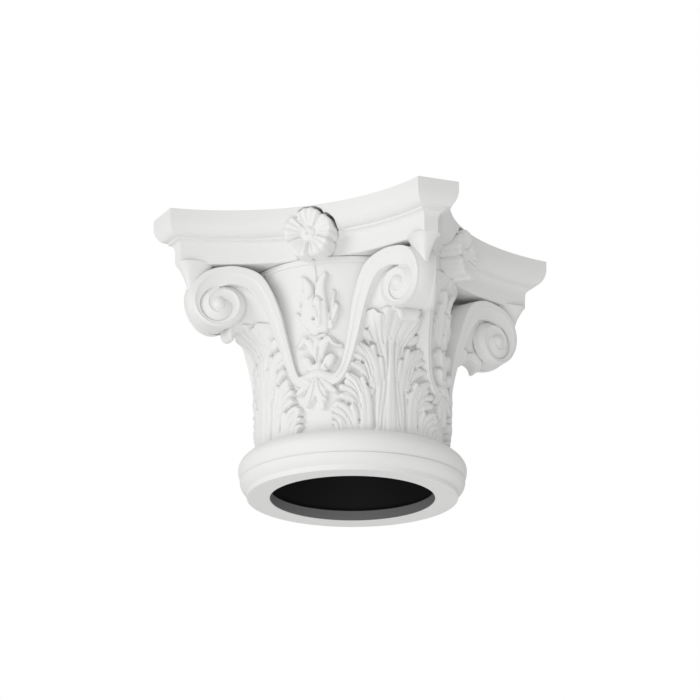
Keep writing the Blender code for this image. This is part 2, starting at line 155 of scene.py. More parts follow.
def along_curve(rows, place):
    """Rows read along a smooth curve through them; place runs from 0 to the last row."""
    rows = np.asarray(rows, float)
    padded = np.vstack([rows[:1], rows, rows[-1:]])
    index = np.clip(np.floor(place).astype(int), 0, len(rows) - 2)
    t = (place - index)[:, None]
    before, start, end, after = (padded[index + k] for k in range(4))
    return 0.5 * (2 * start + (end - before) * t + (2 * before - 5 * start + 4 * end - after) * t ** 2
                  + (3 * start - before - 3 * end + after) * t ** 3)


def read_table(table, v):
    """A table in millimetres read along a smooth curve; v runs from 0 to 1."""
    return along_curve(np.array(table) * MM, v * (len(table) - 1))


def arc_steps(start, stop, step):
    """Angles in radians from whole degrees."""
    return [radians(degrees) for degrees in range(start, stop, step)]


def round_axis(radius, angle, height):
    """Points by radius, angle from the front face's middle, and height."""
    return np.stack([radius * np.sin(angle), -radius * np.cos(angle), height], 1)


# Meshes and pieces

def skin(bm, across, along, surface):
    """A grid of cells moved onto a surface of (u, v), both from 0 to 1."""
    made = bmesh.ops.create_grid(bm, x_segments=across, y_segments=along, size=0.5)["verts"]
    u = np.array([vert.co.x for vert in made]) + 0.5
    v = np.array([vert.co.y for vert in made]) + 0.5
    for vert, point in zip(made, surface(u, v)):
        vert.co = point


def mesh_of(name, bm):
    """A mesh from a bmesh, which is freed."""
    mesh = bpy.data.meshes.new(name)
    bm.to_mesh(mesh)
    bm.free()
    return mesh


def placed(name, data):
    """An object in the scene for a mesh, a light or a camera."""
    item = bpy.data.objects.new(name, data)
    bpy.context.scene.collection.objects.link(item)
    return item


def close_shell(bm):
    bmesh.ops.remove_doubles(bm, verts=bm.verts, dist=0.000001)
    bmesh.ops.dissolve_degenerate(bm, edges=bm.edges, dist=0.000001)
    rims = [edge for edge in bm.edges if edge.is_boundary]
    bmesh.ops.holes_fill(bm, edges=rims, sides=0)
    bmesh.ops.recalc_face_normals(bm, faces=bm.faces)


def shell(across, along, surface):
    """A closed mesh from one skin, as a bmesh."""
    bm = bmesh.new()
    skin(bm, across, along, surface)
    close_shell(bm)
    return bm


def join_into(bm, part):
    """Adds a closed part to a piece's mesh."""
    mesh = mesh_of("part", part)
    bm.from_mesh(mesh)
    bpy.data.meshes.remove(mesh)


def turned_copy(bm, quarter):
    copy = bm.copy()
    bmesh.ops.rotate(copy, verts=copy.verts, cent=(0, 0, 0),
                     matrix=Matrix.Rotation(quarter * pi / 2, 3, "Z"))
    return copy


def mirrored_copy(bm):
    """The same form on the other side of the corner's diagonal plane."""
    copy = bm.copy()
    swap = Matrix(((0, -1, 0), (-1, 0, 0), (0, 0, 1)))
    bmesh.ops.transform(copy, verts=copy.verts, matrix=swap.to_4x4())
    bmesh.ops.recalc_face_normals(copy, faces=copy.faces)
    return copy


def add_piece(name, mesh, finish, nodes, sharp):
    """Finishes a mesh as a piece, with sharp edges over so many degrees."""
    mesh.materials.clear()
    mesh.materials.append(finish)
    mesh.shade_smooth()
    mesh.set_sharp_from_angle(angle=radians(sharp))
    piece = placed(name, mesh)
    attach(piece, "root")
    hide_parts(*nodes)


def add_cast(name, mesh, sharp):
    """A piece of the casting."""
    add_piece(name, mesh, finish_of("painted_cast"), ["capital"], sharp)


def add_cast_quarters(name, bm, sharp):
    """Four like pieces of the casting, a quarter turn apart."""
    for quarter in range(4):
        title = f"{name}_{quarter + 1}"
        add_cast(title, mesh_of(title, turned_copy(bm, quarter)), sharp)
    bm.free()


# Finishes

class Value:
    """A number in a material; the usual operators on it add Math nodes."""

    def __init__(self, tree, socket):
        self.tree = tree
        self.socket = socket

    def maths(self, operation, *numbers):
        node = self.tree.nodes.new("ShaderNodeMath")
        node.operation = operation
        for place, number in enumerate(numbers):
            if isinstance(number, Value):
                self.tree.links.new(number.socket, node.inputs[place])
            else:
                node.inputs[place].default_value = number
        return Value(self.tree, node.outputs[0])

    def __add__(self, other):
        return self.maths("ADD", self, other)

    __radd__ = __add__

    def __sub__(self, other):
        return self.maths("SUBTRACT", self, other)

    def __rsub__(self, other):
        return self.maths("SUBTRACT", other, self)

    def __mul__(self, other):
        return self.maths("MULTIPLY", self, other)

    def clamped(self):
        return self.maths("MINIMUM", self.maths("MAXIMUM", self, 0.0), 1.0)


class Finish:
    """A material whose nodes are made by one method."""

    def __init__(self, name):
        self.material = bpy.data.materials.new(name)
        self.material.use_nodes = True
        self.tree = self.material.node_tree
        self.shader = self.tree.nodes["Principled BSDF"]

    def node(self, kind, inputs, output=0, **settings):
        """A node's output; its inputs are given by name or place."""
        made = self.tree.nodes.new(kind)
        for key, value in settings.items():
            setattr(made, key, value)
        for key, value in inputs.items():
            self.feed(made.inputs[key], value)
        return Value(self.tree, made.outputs[output])

    def feed(self, socket, value):
        if isinstance(value, Value):
            self.tree.links.new(value.socket, socket)
        else:
            socket.default_value = value

    def place(self):
        return self.node("ShaderNodeTexCoord", {}, "Object")

    def noise(self, place, scale, detail=3.0, roughness=0.5):
        return self.node("ShaderNodeTexNoise", {"Vector": place, "Scale": scale, "Detail": detail,
                                                "Roughness": roughness})

    def mix(self, share, first, second):
        """A colour between two, by a share."""
        return self.node("ShaderNodeMix", {0: share, 6: first, 7: second}, 2, data_type="RGBA")

    def set(self, name, value):
        self.feed(self.shader.inputs[name], value)


def shade(base, amount):
    return (*(part * amount for part in base), 1.0)


def cast_finish(name, base, paints_bore_shade):
    """White primer on a casting: faint mottling and a fine grain; with a bore, painted shade: a
    mid-grey lip and a near-black cavity wall.
    """
    chosen = bpy.context.scene.capital_finish
    finish = Finish(name)
    place = finish.place()
    cloud = finish.noise(place, 9.0, 4.0, 0.55)
    fleck = finish.noise(place, 420.0, 3.0, 0.6)
    tone = finish.mix(cloud, shade(base, 0.975), shade(base, 1.02))
    tone = finish.mix((fleck - 0.45).clamped() * 0.5, tone, shade(base, 0.93))
    # Painted shade in the bore: the lip's wall mid grey, and the cavity wall above it near black
    if paints_bore_shade:
        sizes = bpy.context.scene.capital_sizes
        flat = finish.node("ShaderNodeVectorMath", {0: place, 1: (1, 1, 0)}, operation="MULTIPLY")
        radius = finish.node("ShaderNodeVectorMath", {0: flat}, "Value", operation="LENGTH")
        height = finish.node("ShaderNodeSeparateXYZ", {"Vector": place}, "Z")
        inside = ((sizes.cavity_radius + 0.0006 - radius) * 3000.0).clamped()
        above = ((height - 0.0006) * 4000.0).clamped()
        deep = ((height - 0.0125) * 1500.0).clamped()
        tone = finish.mix(inside * above, tone, (*chosen.lip, 1.0))
        tone = finish.mix(inside * deep, tone, (*chosen.inside, 1.0))
    finish.set("Base Color", tone)
    finish.set("Roughness", cloud * 0.10 + (chosen.roughness - 0.05))
    soft = finish.noise(place, 55.0, 2.0, 0.5)
    relief = soft * 0.55 + fleck * 0.06
    finish.set("Normal", finish.node("ShaderNodeBump", {
        "Strength": chosen.grain, "Distance": 0.0012, "Height": relief}, "Normal"))
    finish.set("Specular IOR Level", 0.35)
    return finish.material


def finish_of(name):
    """The capital's or the rosettes' finish, made once."""
    known = bpy.data.materials.get(name)
    if known is not None:
        return known
    is_cast = name == "painted_cast"
    chosen = bpy.context.scene.capital_finish
    return cast_finish(name, chosen.cast if is_cast else chosen.rosette, is_cast)


# Turned body: the ring at the foot, the bell and the wall of the cavity

def bell_radius(height):
    """Radius of the plain bell behind the carving."""
    sizes = bpy.context.scene.capital_sizes
    flare = sizes.rim_radius - sizes.bell_radius
    share = np.clip((height / sizes.rim_height - 0.6) / 0.4, 0.0, 1.0)
    return sizes.bell_radius + flare * (0.25 * share + 0.75 * share ** 4)


# The band under the ring, from its groove down: (reach past the shaft, height) in mm
BAND = [(8.8, 20), (8.6, 18.2), (8, 15.6), (7.2, 13.7), (6.1, 12), (4.6, 10.2), (3.2, 8.7),
        (1.6, 7.5), (0.3, 6.4), (0, 5.4), (0, 0.4), (-0.4, 0)]
BELL_FOOT = 0.0500
LIP_HEIGHT = 0.014


def body_outline(sizes):
    """(radius, height) round the section of the wall, from the lip's top down and up inside."""
    rim = sizes.rim_radius
    top = sizes.rim_height
    lip = [(rim - 0.010, top + 0.014), (rim - 0.004, top + 0.0062), (rim - 0.0012, top + 0.005)]
    lip += [(rim + 0.0006 * cos(angle) - 0.0006, top + 0.0015 + 0.0035 * sin(angle))
            for angle in arc_steps(80, -81, -20)]
    lip += [(rim - 0.0024, top - 0.0026), (rim - 0.0024, top - 0.0040)]
    bell = [(float(bell_radius(height)) - 0.0004, height)
            for height in np.linspace(top - 0.0045, BELL_FOOT, 46)]
    centre = sizes.torus_widest - sizes.torus_radius
    torus = []
    for angle in arc_steps(96, -36, -4):
        rise = sizes.torus_rise if angle > 0 else sizes.torus_radius
        torus.append((centre + sizes.torus_radius * cos(angle),
                      sizes.torus_height + rise * sin(angle)))
    groove = [(sizes.torus_widest - 0.0042, 0.0206), (sizes.torus_widest - 0.0036, 0.0201)]
    foot = [(sizes.shaft_radius + out * MM, height * MM) for out, height in BAND]
    bore = sizes.bore_radius
    cavity = sizes.cavity_radius
    inner = [(bore + 0.0006, 0.0), (bore, 0.0006), (bore, LIP_HEIGHT - 0.0006),
             (bore + 0.0006, LIP_HEIGHT), (cavity, LIP_HEIGHT), (cavity, 0.120),
             (cavity, top + 0.014)]
    return lip + bell + torus + groove + foot + inner


def build_body(context):
    sizes = context.scene.capital_sizes
    bm = bmesh.new()
    points = [bm.verts.new((radius, 0.0, height)) for radius, height in body_outline(sizes)]
    edges = [bm.edges.new(pair) for pair in zip(points, points[1:] + points[:1])]
    bmesh.ops.spin(bm, geom=points + edges, cent=(0, 0, 0), axis=(0, 0, 1), angle=2 * pi,
                   steps=context.scene.carving_settings.turn_steps, use_merge=True)
    close_shell(bm)
    add_cast("capital_body", mesh_of("capital_body", bm), 28)


# Abacus

def side_radius(sizes):
    """Radius of the concave side, from its middle and its cut corner."""
    along = (sizes.abacus_corner - sizes.corner_half_width) / sqrt(2)
    rise = (sizes.abacus_corner + sizes.corner_half_width) / sqrt(2) - sizes.abacus_middle
    return (along ** 2 + rise ** 2) / (2 * rise)


def side_half_angle(sizes, inset):
    """Half the angle of the side's arc between its corners, drawn in by the inset."""
    centre = sizes.abacus_middle + side_radius(sizes)
    corner = sizes.abacus_corner - inset
    off = centre / sqrt(2) - corner
    reach = np.sqrt((side_radius(sizes) + inset) ** 2 - off ** 2)
    half = centre / sqrt(2) - reach
    return np.arctan2((corner - half) / sqrt(2), centre - (corner + half) / sqrt(2))


# Cells along a side, the plain edge over the ovolo, and the cove under the fillet
SIDE_CELLS = 48
TOP_EDGE = 0.0104
COVE_HEIGHT = 0.0105


def abacus_place(sizes, u, inset, height):
    """Point on the abacus's outline, u once round it, with a sharp cut corner after each side."""
    step = np.rint(u * 4 * (SIDE_CELLS + 1))
    quarter = np.floor(step / (SIDE_CELLS + 1))
    share = 2 * (step - quarter * (SIDE_CELLS + 1)) / SIDE_CELLS - 1
    angle = side_half_angle(sizes, inset) * share
    radius = side_radius(sizes) + inset
    x = radius * np.sin(angle)
    y = radius * np.cos(angle) - sizes.abacus_middle - side_radius(sizes)
    turn = quarter * pi / 2
    return np.stack([x * np.cos(turn) - y * np.sin(turn), x * np.sin(turn) + y * np.cos(turn),
                     height], 1)


def abacus_profile(sizes):
    """(inset, height) from the top edge down to the underside."""
    drop = sizes.height - TOP_EDGE - sizes.ovolo_underside
    under = sizes.abacus_underside
    ovolo = [(sizes.ovolo_inset * (1 - cos(angle)), sizes.ovolo_underside + drop * (1 - sin(angle)))
             for angle in arc_steps(0, 91, 9)]
    fillet = [(sizes.ovolo_inset + 0.0001, sizes.ovolo_underside - 0.0003),
              (sizes.ovolo_inset + 0.0004, sizes.ovolo_underside - 0.0028)]
    run = sizes.face_inset - 0.0002 - fillet[-1][0]
    cove = [(fillet[-1][0] + run * sin(angle), fillet[-1][1] - COVE_HEIGHT * (1 - cos(angle)))
            for angle in arc_steps(15, 91, 15)]
    foot = [(sizes.face_inset, under + 0.0040), (sizes.face_inset + 0.0004, under + 0.0018),
            (sizes.face_inset + 0.0016, under + 0.0002), (sizes.face_inset + 0.0030, under)]
    return [(0.0005, sizes.height), (0.0, sizes.height - 0.0005), *ovolo, *fillet, *cove, *foot]


def abacus_surface(sizes):
    """The outside, the underside, the hole and the top, as one closed skin."""
    outer = np.array(abacus_profile(sizes))
    inside = sizes.cavity_radius - 0.0006
    hole = np.array([(inside, sizes.abacus_underside + 0.0002), (inside, sizes.height - 0.0220),
                     (sizes.bore_radius, sizes.height - 0.0180),
                     (sizes.bore_radius, sizes.height - 0.0005),
                     (sizes.bore_radius + 0.0005, sizes.height)])
    rows = len(outer) + len(hole)

    def surface(u, v):
        row = np.rint(v * rows).astype(int) % rows
        outside = row < len(outer)
        inset, height = outer[np.where(outside, row, 0)].T
        edge = abacus_place(sizes, u, inset, height)
        radius, level = hole[np.where(outside, 0, row - len(outer))].T
        angle = np.arctan2(edge[:, 0], -edge[:, 1])
        return np.where(outside[:, None], edge, round_axis(radius, angle, level))

    return 4 * (SIDE_CELLS + 1), rows, surface


def petal_radius(rosette, angle):
    """Outline of the rosette, one petal pointing up, each with a softly notched edge."""
    swing = np.abs(np.cos(rosette.petals * (angle - pi / 2) / 2))
    ripple = 0.008 * np.cos(rosette.petals * 4 * (angle - pi / 2))
    return rosette.radius * (0.845 + 0.147 * swing ** 0.6 - ripple)


def pocket_surface(rosette, top):
    """The recess behind a rosette: close at its sides and foot, open over its top."""
    def surface(u, v):
        angle = 2 * pi * u + pi / 2
        reach = petal_radius(rosette, angle) + 0.0004
        above = smooth_step(0.35, 0.75, np.sin(angle + radians(25)))
        beside = 0.4 * np.exp(-((angle % (2 * pi) - 2.5) / 0.2) ** 2)
        reach += rosette.gap * np.maximum(above, beside)
        reach *= (v > 0.01) & (v < 0.99)
        out = np.where(v < 0.5, rosette.floor, rosette.floor + 0.08)
        height = np.minimum(rosette.height + reach * np.sin(angle), top)
        return np.stack([reach * np.cos(angle), -out, height], 1)
    return surface


def build_abacus(context):
    scene = context.scene
    sizes = scene.capital_sizes
    form = placed("abacus_form", mesh_of("abacus_form", shell(*abacus_surface(sizes))))
    pockets = bmesh.new()
    pocket = shell(120, 3, pocket_surface(scene.rosette_sizes, sizes.height - 0.0015))
    for quarter in range(4):
        join_into(pockets, turned_copy(pocket, quarter))
    pocket.free()
    cutter = placed("pocket_form", mesh_of("pocket_form", pockets))
    cut = form.modifiers.new("pockets", "BOOLEAN")
    cut.operation = "DIFFERENCE"
    cut.solver = "EXACT"
    cut.object = cutter
    graph = context.evaluated_depsgraph_get()
    carved = bpy.data.meshes.new_from_object(form.evaluated_get(graph))
    for item in (form, cutter):
        bpy.data.objects.remove(item, do_unlink=True)
    add_cast("capital_abacus", carved, 26)


# Relief on the bell, drawn as lobes, grooves and drilled eyes in millimetres round and up

def line_gap(a, z, line):
    """Distance to a line of (a, z, ...) rows, and the rows' other numbers there."""
    line = np.asarray(line, float)
    fine = along_curve(line, np.linspace(0, len(line) - 1, 6 * (len(line) - 1) + 1))
    gap = np.full(a.shape, np.inf)
    read = np.zeros(a.shape + (line.shape[1] - 2,))
    for start, end in zip(fine, fine[1:]):
        step = end[:2] - start[:2]
        t = ((a - start[0]) * step[0] + (z - start[1]) * step[1]) / max(step @ step, 1e-9)
        t = np.clip(t, 0.0, 1.0)
        new = np.hypot(a - start[0] - t * step[0], z - start[1] - t * step[1])
        nearer = new < gap
        gap = np.where(nearer, new, gap)
        read = np.where(nearer[..., None], start[2:] + (end[2:] - start[2:]) * t[..., None], read)
    return gap, read


# The ground between lobes and the deepest cut, in millimetres over the bell; the height of a
# lobe's edge as a share of its crest, and the width of the wall under it
GROUND = -1.5
DEEPEST = -3.0
LOBE_EDGE = 0.60
LOBE_WALL = 0.9


def add_lobes(relief, a, z, lobes):
    """Raises rounded fingers: each row is (a, z, half width, height of its crest)."""
    for lobe in lobes:
        table = np.asarray(lobe, float)
        reach = table[:, 2].max() * 1.3
        near = ((a > table[:, 0].min() - reach) & (a < table[:, 0].max() + reach)
                & (z > table[:, 1].min() - reach) & (z < table[:, 1].max() + reach))
        gap, read = line_gap(a[near], z[near], table)
        share = gap / read[:, 0]
        dome = np.sqrt(np.clip(1 - share ** 2, 0, 1))
        crest = read[:, 1] * (LOBE_EDGE + (1 - LOBE_EDGE) * dome)
        wall = np.clip((1 - share) * read[:, 0] / LOBE_WALL + 1, 0, 1)
        relief[near] = np.maximum(relief[near], GROUND + (crest - GROUND) * wall)


GROOVE_SCALE = 1.7
EYE_SCALE = 1.6


def add_grooves(relief, a, z, grooves):
    """Cuts grooves: each is (half width, depth before scaling, points)."""
    for half, depth, points in grooves:
        gap, _ = line_gap(a, z, [(*point, 0.0) for point in points])
        relief -= GROOVE_SCALE * depth * np.exp(-(gap / half) ** 2)


def add_eyes(relief, a, z, eyes):
    """Drills eyes: each is (a, z, radius, depth before scaling)."""
    for at, height, radius, depth in eyes:
        gap = np.hypot(a - at, z - height)
        relief -= EYE_SCALE * depth * np.exp(-(gap / radius) ** 4)


def carved_relief(a, z, lobes, grooves, eyes):
    relief = np.full(a.shape, GROUND)
    add_lobes(relief, a, z, lobes)
    add_grooves(relief, a, z, grooves)
    add_eyes(relief, a, z, eyes)
    return relief


def softened(relief):
    """Each point drawn towards its neighbours, as tooling and paint round a casting."""
    padded = np.pad(relief, 1, mode="edge")
    around = padded[:-2, 1:-1] + padded[2:, 1:-1] + padded[1:-1, :-2] + padded[1:-1, 2:]
    return 0.5 * relief + 0.125 * around


# Half of the corner leaf, outwards from the midrib, in three tiers below its curled top
LEAF_LOBES = [
    [(56, 46, 14, 4.6), (57, 68, 12, 5.2), (65, 79, 7, 7.5), (70, 82, 5, 8)],
    [(36, 46, 10, 4.8), (38, 82, 9, 5.2), (43, 104, 8.5, 7), (52, 114, 6.5, 8.4)],
    [(43, 60, 5, 4.8), (47, 84, 7, 6), (56, 97, 6, 7.8)],
    [(14, 46, 9, 4.8), (15, 110, 9, 5.2), (22, 136, 9.5, 6.5), (32, 151, 9, 8), (40, 155, 6, 9)],
    [(24, 104, 5, 4.8), (33, 127, 6.5, 6), (42, 137, 6, 7)],
    [(9, 120, 5, 5), (12, 150, 7, 6.5), (19, 172, 9, 7), (27, 188, 8, 8), (30, 197, 5, 8)],
    [(14, 148, 5, 6), (26, 168, 5.5, 7), (36, 177, 4.5, 8)],
    [(50, 46, 4.5, 5), (51, 70, 4.5, 6), (57, 81, 4.6, 8.5), (67, 86.5, 3.4, 9.5)],
    [(55, 46, 3.6, 5), (58, 69, 3.8, 6.5), (64, 77, 3.8, 8.5), (72, 80, 3, 9)],
    [(60, 46, 3.4, 5), (63, 65, 3.5, 7), (68, 70, 3.2, 8.5), (73, 71.5, 2.8, 8.5)],
    [(65, 46, 3, 5), (68, 61, 3, 7), (73, 63, 2.6, 8)],
    [(43.5, 46, 4.2, 5), (44.5, 70, 4.2, 6), (48, 82, 3.6, 8), (50, 86, 2.6, 8.5)],
    [(34, 46, 6, 5.5), (35, 80, 6, 6), (38.5, 100, 6.2, 7), (44, 114, 6, 8.5), (54, 122, 4, 9.5)],
    [(27.5, 46, 4.5, 5.5), (28, 85, 4.6, 6), (31.5, 104, 4.4, 7), (36, 118, 3.4, 8.5)],
    [(40, 78, 3, 5), (43, 93, 3, 6.5), (50, 102.5, 3.4, 8.5), (61, 107, 4, 9.5)],
    [(39, 64, 3.4, 5), (43, 82, 4, 6), (50, 92, 4.2, 8), (61, 96, 3.8, 9)],
    [(12, 100, 6, 5.5), (16, 125, 6.4, 6), (25, 147, 7.4, 8), (40, 158, 6.4, 10)],
    [(16, 105, 5, 5.5), (18, 130, 5, 6.5), (22, 150, 4.5, 8), (23.5, 161, 3, 9)],
    [(8, 90, 4.2, 6), (10, 120, 4.2, 6), (12, 138, 3.6, 7.5), (13.5, 144, 3, 8)],
    [(22, 110, 4, 5.5), (29, 132, 3.8, 6.5), (37, 143.5, 3.8, 8), (48, 149, 3, 9)],
    [(26, 106, 4, 5), (33, 124, 4.2, 6), (40, 132.5, 4.2, 7.5), (48, 136, 3.4, 9)],
    [(5, 130, 3.5, 7), (8, 155, 4.5, 7.5), (14, 172, 5, 8), (21, 190, 4.5, 9)],
    [(15.5, 46, 4.6, 6), (14.5, 85, 4.4, 6), (13.5, 110, 3.6, 6)],
    [(10, 46, 3.6, 6.2), (8.5, 90, 3.4, 6.2), (7, 130, 3.2, 6.6), (8, 160, 3.6, 8), (13, 200, 5, 8)],
    [(2.5, 46, 5.8, 7), (2, 90, 5, 7.2), (1, 130, 3.8, 7.6), (1, 160, 3.8, 8.4),
     (1, 180, 5, 8.4), (1, 200, 8, 8.4)],
]
LEAF_GROOVES = [
    (0.9, 1.2, [(12.5, 58), (8.5, 90), (5, 130), (4.2, 150), (5, 166)]),
    (0.8, 0.8, [(16.5, 58), (14, 90), (10.5, 118)]),
    (1.3, 2.4, [(20.5, 58), (21, 80), (20.8, 96), (19.5, 106)]),
    (1.2, 2.2, [(67, 90.5), (58, 89.5), (52, 86.5)]),
    (0.8, 1.2, [(66, 83), (58, 77), (52, 69), (49, 60)]),
    (0.8, 1.1, [(67, 75), (60, 70), (55, 61)]),
    (0.9, 1.8, [(46, 88), (41.5, 82), (39.5, 72), (39.5, 62)]),
    (1.1, 2.4, [(50, 127.5), (43, 126), (35, 123.5), (30.5, 117), (29, 110), (24, 107)]),
    (0.8, 1.2, [(60, 112.5), (51, 108), (43, 99), (38, 84)]),
    (0.9, 1.6, [(60, 101.5), (50, 100.5), (44, 93), (41, 84)]),
    (1.1, 2.6, [(46, 168), (30, 166.5), (24, 165), (19, 163)]),
    (1, 1.8, [(18.5, 163), (17.5, 152), (14, 148.5), (10, 148)]),
    (0.9, 1.3, [(9.5, 147), (8, 135), (7.5, 118)]),
    (0.8, 1.2, [(46, 154), (38, 150), (30, 139), (25, 122)]),
    (0.9, 1.6, [(47, 141.5), (38, 141), (32, 133), (27.5, 118)]),
    (0.8, 1.2, [(29, 196), (22, 181), (16, 166), (12, 152)]),
    (0.8, 1.2, [(22, 200), (16, 182), (10, 164)]),
    (0.7, 1, [(7, 200), (5, 180), (4.2, 166)]),
    (0.9, 1.6, [(38, 182), (31, 180), (25, 172), (20, 160)]),
    (0.7, 0.9, [(44, 166), (34, 152), (27, 136)]), (0.7, 0.9, [(36, 160), (28, 146), (22, 130)]),
    (0.7, 0.9, [(58, 119), (48, 112), (40, 98), (37, 80)]),
    (0.7, 0.9, [(52, 123), (43, 115), (37, 100)]),
    (0.6, 0.8, [(70, 78), (62, 73), (57, 64), (55, 50)]),
    (0.6, 0.8, [(71, 69), (66, 64), (62, 52)]),
]
LEAF_EYES = [(52, 86.5, 2.5, 6.5), (41, 125.8, 2.3, 5.5), (24.5, 164, 2.6, 6.5),
             (35.5, 139.5, 2.2, 4.5), (29.5, 112, 1.9, 3.5), (40, 67, 1.6, 3),
             (16.5, 149, 1.8, 2.5), (31, 181, 1.8, 3)]
# The sheet's half width round the bell, its lowest and highest edge, and how far its top curls out
LEAF_SHEET = (0.0770, 0.0470, 0.2000)
TOP_CURL = 34


def leaf_relief(a, z):
    """The corner leaf's relief over the bell; a is from the diagonal."""
    side = np.abs(a + 1.5)
    relief = carved_relief(side, z, LEAF_LOBES, LEAF_GROOVES, LEAF_EYES)
    curl = TOP_CURL * smooth_step(160, 204, z) ** 1.3
    return relief + curl * smooth_step(44, 16, side)


# Each face's ornament from its top down: stem, bud, cup, curled leaves and hanging calyx
FACE_LOBES = [
    [(0, 276, 1.3, 2.2), (0, 258, 1.4, 2.4), (0, 244, 1.5, 3)],
    [(-4, 176, 6, 4), (-7, 200, 7, 6.5), (-9, 222, 6.5, 8), (-9.5, 238, 5.5, 8.5),
     (-14, 247, 3.2, 8)],
    [(6, 176, 7, 4), (6, 200, 8, 7), (5.5, 222, 7.4, 8), (7, 238, 6, 7.5), (13, 249, 3.2, 7)],
    [(2, 190, 5, 8), (3, 206, 5, 9.5), (4, 216, 3.6, 10)],
    [(16, 192, 3.4, 4), (19.5, 210, 3, 6), (21.5, 229, 2.4, 6.5)],
    [(17, 186, 3.4, 4), (23, 199, 3.4, 6), (26, 213, 2.8, 6.5)],
    [(-13, 194, 3.4, 4), (-16, 215, 3.2, 6), (-17, 231, 2.4, 6.5)],
    [(-14, 190, 3.4, 4), (-19, 206, 3, 5.5), (-22, 216, 2.4, 6)],
    [(-14, 188, 3.2, 4), (-22, 199, 2.8, 5), (-28, 206, 2.2, 5.5)],
    [(0, 150, 9, 6), (0, 165, 10, 6.5), (0, 185, 12, 4.5), (0, 197, 12, 5)],
    [(4, 148, 5, 7), (9, 163, 6, 9), (16, 169, 4.6, 9.5), (23, 163, 3.4, 8.5), (30, 161, 2.4, 7)],
    [(-4, 148, 5, 7), (-8, 163, 6, 9), (-15, 171, 4.2, 9), (-21, 166, 3.4, 8), (-27, 164, 2.4, 7)],
    [(0, 130, 6, 8), (0, 150, 5.5, 8.5), (1, 168, 4, 8)],
    [(-7, 133, 5, 7), (-12, 142, 6.6, 10.5), (-15, 145, 5.5, 11)],
    [(9, 133, 5, 7), (16, 142, 6.8, 10.5), (19, 145, 5.6, 11)],
    [(-30, 122, 5, 6), (-16, 121, 5.6, 8.5), (0, 126, 6.5, 9.5), (16, 121, 5.6, 8.5),
     (30, 122, 5, 6)],
    [(-1, 124, 4, 7), (-5, 110, 6, 7), (-10, 98, 6.5, 7), (-13, 89, 3.5, 7.5)],
    [(1, 124, 4, 7), (4, 108, 7, 7), (6, 95, 7, 6.5), (7, 84, 3.5, 6)],
    [(2, 122, 4, 7), (10, 113, 5, 7), (18, 107, 4.6, 8), (23, 103, 3, 8)],
    [(-2, 122, 4, 7), (-12, 114, 5, 7), (-21, 108, 4.4, 7.5), (-26, 104, 3, 7.5)],
]
FACE_GROOVES = [
    (0.8, 1.6, [(2, 268), (2, 255), (2.2, 243)]),
    (1.5, 3.6, [(-17, 251.5), (-10, 249), (-5, 243.5), (-3, 240)]),
    (1, 2, [(-3, 240), (-2, 232), (-5, 226), (-9, 222)]),
    (1.1, 3, [(0, 225), (4, 223.5), (8, 219)]),
    (0.8, 1.5, [(-3, 213), (0, 210), (3, 198)]),
    (1.3, 2.4, [(17, 252), (14, 241), (13, 230), (15, 215), (17.5, 206), (17, 195)]),
    (0.8, 1.6, [(22, 231), (20.5, 222), (19, 212)]),
    (1.1, 2.2, [(27, 215), (29.5, 208), (25, 198), (20, 190)]),
    (1, 2.2, [(-9, 178.5), (-3, 175.5), (3, 177.5)]),
    (1.1, 2.6, [(3, 178.5), (12, 178), (18, 173), (23, 165), (30, 162.5)]),
    (1, 2, [(2.4, 160), (1.5, 150), (1, 141)]),
    (1.6, 4, [(-20, 151.5), (-10, 150.5), (-5, 145), (-3, 140)]),
    (1.5, 3.6, [(12, 151.5), (22, 151.5), (27, 147.5), (25, 141.5)]),
    (1.4, 2.6, [(11.5, 136), (14, 133), (18, 131)]),
    (1, 1.8, [(-7, 118), (-13, 121), (-22, 116.5)]),
    (1, 2, [(2, 121), (10, 118), (20, 115), (24, 112)]),
    (0.9, 1.6, [(1, 120), (4, 108), (9, 99), (14, 96)]),
    (1, 1.8, [(2, 121), (8, 112), (14, 106), (17, 101)]),
    (0.9, 1.4, [(-2, 120), (-4, 106), (-8, 92)]),
    (0.8, 1.2, [(-3, 121), (-11, 110), (-18, 102)]),
    (0.7, 1, [(9, 92), (12, 85), (10, 78), (6, 72)]),
]
FACE_EYES = [(-4, 197, 1.8, 4.5), (7, 171, 1.7, 4), (-11, 172, 1.5, 2.5), (2, 244, 1.5, 2),
             (-6, 245, 2, 2.5), (-4, 142, 2.2, 3.5), (22, 108.5, 1.6, 2),
             (-18, 233, 1.5, 2), (-21, 215, 1.6, 2.5), (27, 214.5, 1.8, 2.5),
             (-27, 165, 1.6, 2)]
FACE_SHEET = (0.0345, 0.0640, 0.2690)


def face_relief(a, z):
    return carved_relief(a, z, FACE_LOBES, FACE_GROOVES, FACE_EYES)


# Radius at which the carving's widths are measured round the bell
ARC_RADIUS = 0.120


def carved_sheet(relief_at, azimuth, half, low, high, cell, depth):
    """A carved front on the bell with a plain back inside the wall, as one closed solid."""
    across = int(2 * half / cell)
    along = int((high - low) / cell)
    a, z = np.meshgrid(np.linspace(-half, half, across + 1), np.linspace(low, high, along + 1))
    relief = relief_at(a / MM, z / MM) * depth
    relief = softened(np.maximum(relief, DEEPEST))
    relief[:, [0, -1]] = GROUND
    relief[[0, -1], :] = GROUND

    def surface(u, v):
        row = np.rint(v * (along + 3)).astype(int)
        column = np.rint(u * across).astype(int)
        front = (row >= 1) & (row <= along + 1)
        step = np.clip(row - 1, 0, along)
        height = low + (high - low) * step / along
        height = np.where(row == along + 3, low, height)
        outside = bell_radius(height) + relief[step, column] * MM
        radius = np.where(front, outside, bpy.context.scene.capital_sizes.cavity_radius + 0.003)
        angle = azimuth + (2 * u - 1) * half / ARC_RADIUS
        return round_axis(radius, angle, height)

    return shell(across, along + 3, surface)


